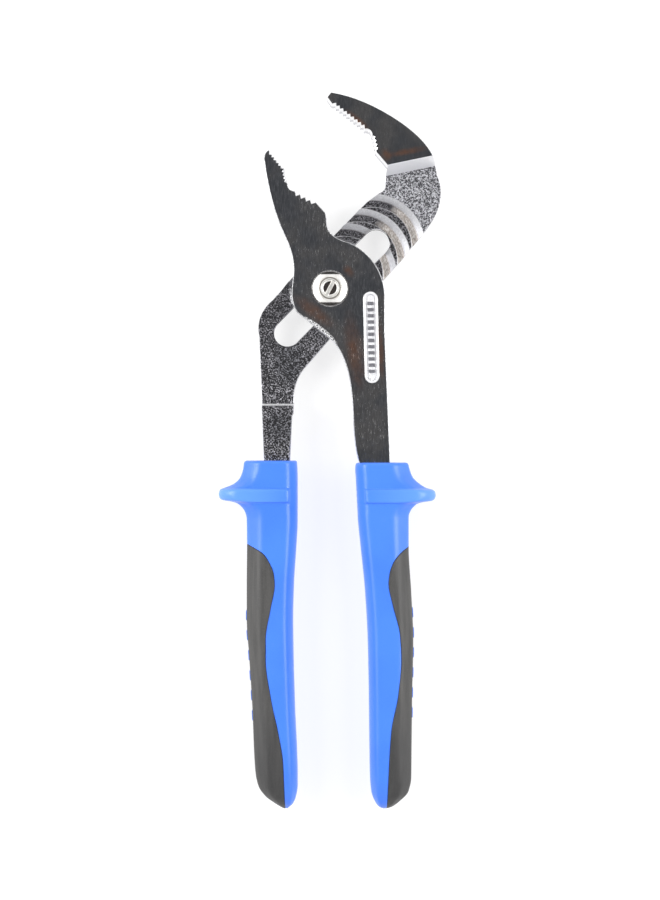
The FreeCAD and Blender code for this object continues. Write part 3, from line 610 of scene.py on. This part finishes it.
def rear_steel():
    """Rough chromed forging, with a ground jaw face, a machined ramp and machined grooves."""
    finish = Finish("rear_lever_chrome", Metallic=1.0)
    x, y, z = finish.split()
    colour, roughness, relief = ground_chrome(finish, 40, REAR_WARM_REFLECTIONS, 0.4)
    from_ramp = finish.math("SUBTRACT", y, finish.math("MULTIPLY", x, RAMP_SLOPE))
    past_neck = finish.over(from_ramp, RAMP_EDGE, 0.08)
    on_face = finish.all_of(finish.over(z, FACE - 0.06, 0.04), past_neck)
    on_jaw = finish.all_of(finish.over(z, MID_HEIGHT, 0.1), past_neck)
    cut = finish.all_of(finish.under(z, REAR_LAP - 0.06, 0.04), finish.over(z, REAR_LAP - 2.7, 0.2))
    in_groove = finish.all_of(cut, finish.over(x, GROOVES_LEFT, 0.2))
    on_neck = finish.level(finish.reach(LAST_GROOVE, (LAST_GROOVE_RADIUS,) * 2), 0.99, 1.01)
    on_neck = finish.all_of(on_neck, finish.over(y, 12, 4))

    grain = finish.noise(0.42, 2.0, 0.6)
    coarse = finish.noise(1.4, 2.0, 0.5)
    blast = finish.math("ADD", finish.math("MULTIPLY", grain, 0.6), finish.math("MULTIPLY", coarse, 0.4))
    blast = finish.math("MULTIPLY", blast, finish.mix(on_neck, 0.5, 1.0))
    low = finish.blend(on_neck, (0.19, 0.19, 0.20), (0.46, 0.46, 0.49))
    high = finish.blend(finish.over(y, -32, 26), (0.55, 0.54, 0.58), (0.36, 0.35, 0.38))
    # Painted shade: patches where the blasted face reflects darker.
    for centre, size, turn in SHADED_PATCHES:
        shade_share = finish.level(finish.reach(centre, size, turn), 1.2, 0.4)
        high = finish.blend(shade_share, high, (0.30, 0.30, 0.33))
    high = finish.blend(on_neck, high, (0.72, 0.72, 0.76))
    peaks = finish.level(grain, finish.mix(on_neck, 0.47, 0.44), finish.mix(on_neck, 0.67, 0.64))
    rough_colour = finish.blend(peaks, low, high)

    machined = finish.noise(0.4, 2.0, 0.6, finish.stretch((1.6, 0.5, 1.0), -35))
    bright = finish.blend(finish.level(machined, 0.3, 0.7), (0.58, 0.58, 0.60), (0.78, 0.78, 0.80))
    bright = finish.blend(on_jaw, bright, finish.blend(machined, (0.84, 0.84, 0.85), (0.98, 0.98, 0.99)))
    floor = finish.all_of(in_groove, finish.under(z, REAR_LAP - 2.2, 0.5))
    bed = finish.blend(finish.level(machined, 0.35, 0.65), (0.36, 0.31, 0.28), (0.80, 0.77, 0.74))
    bright = finish.blend(floor, bright, bed)
    # Painted shade: the far end of the groove floors, which lies in shadow, takes the dark blasted finish.
    across = finish.math("SUBTRACT", finish.math("MULTIPLY", y, SLOT_X), finish.math("MULTIPLY", x, SLOT_Y))
    ragged = finish.math("ADD", across, finish.math("MULTIPLY", coarse, 4 * MM))
    shaded_floor_end = finish.all_of(floor, finish.over(ragged, 3.5, 4.5))
    smooth = finish.math("MAXIMUM", finish.math("SUBTRACT", in_groove, shaded_floor_end), on_jaw)

    # Painted highlights: a near-white band on the shank's step edge and a bright halo beside the front
    # lever's edge.
    step = finish.all_of(finish.over(y, SHANK_STEP[0], 0.2), finish.under(y, SHANK_STEP[1] - 0.2, 0.2))
    step = finish.all_of(step, finish.over(z, FRONT_LAP, 0.2))
    halo_share = finish.level(finish.reach(*EDGE_HALO), 1.0, 0.4, 0.0, 0.75)
    halo_share = finish.all_of(halo_share, finish.level(grain, 0.36, 0.56))
    painted_highlights = finish.math("MAXIMUM", step, halo_share)
    rough_colour = finish.blend(painted_highlights, rough_colour, (0.97, 0.97, 0.98))
    finish.drive("Base Color", finish.blend(smooth, rough_colour, finish.blend(on_face, bright, colour)))
    smooth_rough = finish.mix(on_face, finish.mix(floor, 0.40, 0.5), roughness)
    blasted = finish.mix(painted_highlights, finish.mix(peaks, 0.24, 0.55), 0.6)
    finish.drive("Roughness", finish.mix(smooth, blasted, smooth_rough))
    rough_normal = finish.bump(finish.mix(smooth, blast, 0.5), 0.07)
    finish.drive("Normal", finish.bump(finish.mix(smooth, 0.5, relief), GRINDING_DEPTH, rough_normal))
    return finish.material


def hardware(name, dark, rings):
    """Plated turned metal. Each ring is an outer radius, a lowest height, a colour and a roughness."""
    finish = Finish(name, Metallic=1.0)
    z = finish.split()[2]
    radius = finish.reach((0, 0), (1, 1))
    cloud = finish.level(finish.noise(1.6, 2.0), 0.35, 0.7)
    colour = finish.blend(cloud, dark, [0.8 * part for part in dark])
    roughness = 0.2
    for outer, low, tint, rough in rings:
        zone = finish.all_of(finish.level(radius, outer + 0.06, outer - 0.06), finish.over(z, low, 0.05))
        shaded = finish.blend(cloud, tint, [0.9 * part for part in tint])
        colour = finish.blend(zone, colour, shaded)
        roughness = finish.mix(zone, roughness, rough)
    marks = finish.noise(0.25, 2.0, 0.6)
    finish.drive("Base Color", colour)
    finish.drive("Roughness", finish.math("ADD", roughness, finish.level(marks, 0.3, 0.7, -0.04, 0.06)))
    finish.drive("Normal", finish.bump(marks, GRINDING_DEPTH))
    return finish.material


def blue_plastic():
    finish = Finish("blue_sleeve_plastic", Metallic=0.0)
    cloud = finish.level(finish.noise(22.0, 2.0, 0.4), 0.35, 0.65)
    speck = finish.level(finish.noise(0.5, 3.0, 0.6), 0.3, 0.7)
    colour = finish.blend(cloud, (0.050, 0.185, 0.84), (0.058, 0.208, 0.90))
    colour = finish.blend(finish.math("MULTIPLY", speck, 0.18), colour, (0.085, 0.25, 0.95))
    x, y, _ = finish.split()
    # The guard's band is lighter, more so towards the outer side.
    guard = finish.all_of(finish.over(y, GUARD[0], 1.4), finish.under(y, GUARD[1] - 1.0, 1.0))
    lighter_guard_band = finish.all_of(guard, finish.over(finish.math("ABSOLUTE", x), 8, 24))
    colour = finish.blend(lighter_guard_band, colour, (0.105, 0.285, 0.92))
    scuff = finish.level(finish.noise(1.2, 2.0, 0.6, finish.stretch((1.0, 0.25, 1.0))), 0.62, 0.75)
    finish.drive("Base Color", colour)
    satin = finish.level(speck, 0, 1, 0.30, 0.40)
    finish.drive("Roughness", finish.math("ADD", satin, finish.math("MULTIPLY", scuff, 0.12)))
    finish.drive("Normal", finish.bump(finish.noise(0.35, 3.0, 0.65), 0.03))
    return finish.material


def dark_rubber():
    finish = Finish("grey_inlay_rubber", Metallic=0.0)
    grain = finish.noise(0.3, 3.0, 0.6)
    streak = finish.level(finish.noise(3.0, 2.0, 0.5, finish.stretch((1.6, 0.15, 1.6))), 0.3, 0.7)
    colour = finish.blend(streak, (0.040, 0.039, 0.038), (0.066, 0.064, 0.062))
    colour = finish.blend(finish.level(grain, 0.5, 0.8), colour, (0.095, 0.092, 0.09))
    # Painted shade: the inlay darkens towards its lower end.
    shaded_lower_end = finish.level(finish.split()[1], -135 * MM, -165 * MM, 0.0, 0.5)
    colour = finish.blend(shaded_lower_end, colour, (0.028, 0.028, 0.030))
    finish.drive("Base Color", colour)
    finish.drive("Roughness", finish.level(grain, 0.3, 0.7, 0.44, 0.58))
    finish.drive("Normal", finish.bump(grain, 0.05))
    return finish.material


def dress_node(name, material, bevel):
    """Give a carried-over CAD piece its finish and broken edges."""
    thing = dress(NODES[name], material)
    weld = thing.modifiers.new("weld", "WELD")
    weld.merge_threshold = 1e-6
    flat = thing.modifiers.new("planar", "DECIMATE")
    flat.decimate_type = "DISSOLVE"
    flat.angle_limit = math.radians(0.4)
    edge = thing.modifiers.new("edges", "BEVEL")
    edge.width = bevel * MM
    edge.segments = 2
    edge.limit_method = "ANGLE"
    edge.angle_limit = math.radians(32)
    shade = thing.modifiers.new("shade", "WEIGHTED_NORMAL")
    shade.keep_sharp = True


def break_edges(bm, height, up, size):
    """Chamfer the outline of the flat faces at that height that look up or down."""
    flats = [
        face
        for face in bm.faces
        if face.normal.z * up > 0.999 and abs(face.calc_center_median().z - height * MM) < 5e-6
    ]
    ring = bmesh.ops.inset_region(
        bm, faces=flats, use_boundary=True, use_even_offset=True, thickness=size * MM
    )["faces"]
    kept = {vert for face in flats for vert in face.verts}
    outline = {vert for face in ring for vert in face.verts} - kept
    longest = LONGEST_MITRE * size * MM
    for vert in outline:
        for other in (edge.other_vert(vert) for edge in vert.link_edges):
            step = other.co - vert.co
            if other in kept and step.length > longest:
                other.co = vert.co + step * (longest / step.length)
        reach = [(edge.other_vert(vert).co.z - vert.co.z) * up for edge in vert.link_edges]
        if min(reach) < -1e-5 and max(reach) < 1e-5:
            vert.co.z -= up * size * MM


def forged(name, material, body, levels):
    """A lever's CAD mesh with the outlines of its flat faces broken."""
    bm = bmesh.new()
    bm.from_mesh(NODES[name].data)
    bmesh.ops.remove_doubles(bm, verts=bm.verts, dist=TINY_EDGE * MM)
    bmesh.ops.dissolve_limit(bm, angle_limit=math.radians(0.4), verts=bm.verts, edges=bm.edges)
    for height, up, size in levels:
        break_edges(bm, height, up, size)
    mesh = bpy.data.meshes.new(f"{name}_forging")
    bm.to_mesh(mesh)
    bm.free()
    thing = bpy.data.objects.new(f"{name}_forging", mesh)
    bpy.context.scene.collection.objects.link(thing)
    dress(thing, material)
    sharpen(thing, 30)
    for face in mesh.polygons:
        tilt = abs(face.normal.z)
        face.use_smooth = tilt < 0.3 or (tilt < 0.999 and face.area < SLOPE_AREA * MM * MM)
    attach(thing, body)
    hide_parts(name)


def dress(thing, material):
    thing.data.materials.clear()
    thing.data.materials.append(material)
    return thing


def make_grips(blue, grey):
    for side, grip in (("right", RIGHT_GRIP), ("left", LEFT_GRIP)):
        sleeve = dress(make_sleeve(grip, f"{side}_sleeve_skin"), blue)
        marks = [dress(mark, blue) for mark in make_marks(grip, f"{side}_mark")]
        join(sleeve, marks)
        sharpen(sleeve, 40)
        inlay = dress(make_inlay(grip, f"{side}_inlay_skin"), grey)
        sharpen(inlay, 40)
        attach(sleeve, grip["body"])
        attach(inlay, grip["body"])
        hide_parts(f"{side}_grip_sleeve")
        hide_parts(f"{side}_grip_inlay")


def make_floor():
    glow = {"Emission_Color": (1, 1, 1, 1), "Emission_Strength": 0.7}
    finish = Finish("pale_floor", Metallic=0.0, Roughness=0.85, **glow)
    speck = finish.noise(2.0, 2.0)
    finish.drive("Base Color", finish.blend(speck, (0.36, 0.36, 0.36), (0.38, 0.38, 0.38)))
    mesh = bpy.data.meshes.new("floor")
    reach = 1.5
    corners = [(-reach, -reach, 0), (reach, -reach, 0), (reach, reach, 0), (-reach, reach, 0)]
    mesh.from_pydata(corners, [], [(0, 1, 2, 3)])
    floor = bpy.data.objects.new("floor", mesh)
    floor.location.z = -FLOOR_DROP * MM
    bpy.context.scene.collection.objects.link(floor)
    dress(floor, finish.material)


def softbox(name, place, size, power, aim):
    light = bpy.data.lights.new(name, "AREA")
    light.shape = "RECTANGLE"
    light.size, light.size_y = size
    light.energy = power
    lamp = bpy.data.objects.new(name, light)
    lamp.location = place
    lamp.rotation_euler = (Vector(aim) - Vector(place)).to_track_quat("-Z", "Y").to_euler()
    bpy.context.scene.collection.objects.link(lamp)


def make_light():
    """A white studio with a dark ceiling patch straight above, which polished faces reflect."""
    world = bpy.data.worlds.new("studio")
    bpy.context.scene.world = world
    world.use_nodes = True
    tree = world.node_tree
    place = tree.nodes.new("ShaderNodeTexCoord")
    parts = tree.nodes.new("ShaderNodeSeparateXYZ")
    ramp = tree.nodes.new("ShaderNodeValToRGB")
    ramp.color_ramp.elements[0].position = 0.78
    ramp.color_ramp.elements[0].color = (1.0, 1.0, 1.0, 1)
    ramp.color_ramp.elements[1].position = 0.93
    ramp.color_ramp.elements[1].color = (0.10, 0.10, 0.105, 1)
    back = tree.nodes["Background"]
    back.inputs["Strength"].default_value = 0.85
    tree.links.new(place.outputs["Generated"], parts.inputs[0])
    tree.links.new(parts.outputs["Z"], ramp.inputs["Fac"])
    tree.links.new(ramp.outputs["Color"], back.inputs["Color"])
    softbox("left_softbox", (-0.7, 0.1, 0.55), (0.35, 0.8), 7, (0, -0.05, 0))
    softbox("right_softbox", (0.7, 0.0, 0.6), (0.35, 0.8), 6, (0, -0.05, 0))


def make_camera():
    """Straight above the middle of the photograph's frame, with +Y up in the picture."""
    distance = 0.75
    view_height = 0.3141
    middle = -0.0562
    aim_height = 0.013
    bpy.context.scene.view_settings.view_transform = "Standard"
    camera = bpy.data.cameras.new("camera")
    camera.sensor_width = 36
    camera.lens = 36 * distance / view_height
    holder = bpy.data.objects.new("camera", camera)
    holder.location = (0, middle, aim_height + distance)
    bpy.context.scene.collection.objects.link(holder)
    bpy.context.scene.camera = holder


forged(
    "front_lever",
    front_steel(),
    "front_lever_body",
    [(FACE, 1, 0.22), (RIM, 1, 0.15), (BACK, -1, 0.3), (FRONT_LAP, -1, 0.15)],
)
forged(
    "rear_lever",
    rear_steel(),
    "rear_lever_body",
    [(FACE, 1, 0.22), (REAR_LAP, 1, 0.15), (BACK, -1, 0.3)],
)
BRIGHT = (0.93, 0.92, 0.89)
bolt_rings = [(8.0, FACE, BRIGHT, 0.5), (2.3, FACE + 2.2, (0.42, 0.37, 0.34), 0.16)]
nut_rings = [
    (8.0, FACE, BRIGHT, 0.52),
    (3.95, FACE + 1.9, (0.66, 0.62, 0.56), 0.3),
    (3.35, FACE + 1.9, BRIGHT, 0.5),
]
dress_node("pivot_bolt", hardware("bolt_steel_finish", (0.62, 0.61, 0.60), bolt_rings), 0.12)
dress_node("pivot_washer", hardware("washer_finish", (0.36, 0.34, 0.32), []), 0.1)
dress_node("pivot_nut", hardware("nut_plating_finish", (0.80, 0.79, 0.76), nut_rings), 0.15)
make_grips(blue_plastic(), dark_rubber())
make_floor()
make_light()
make_camera()
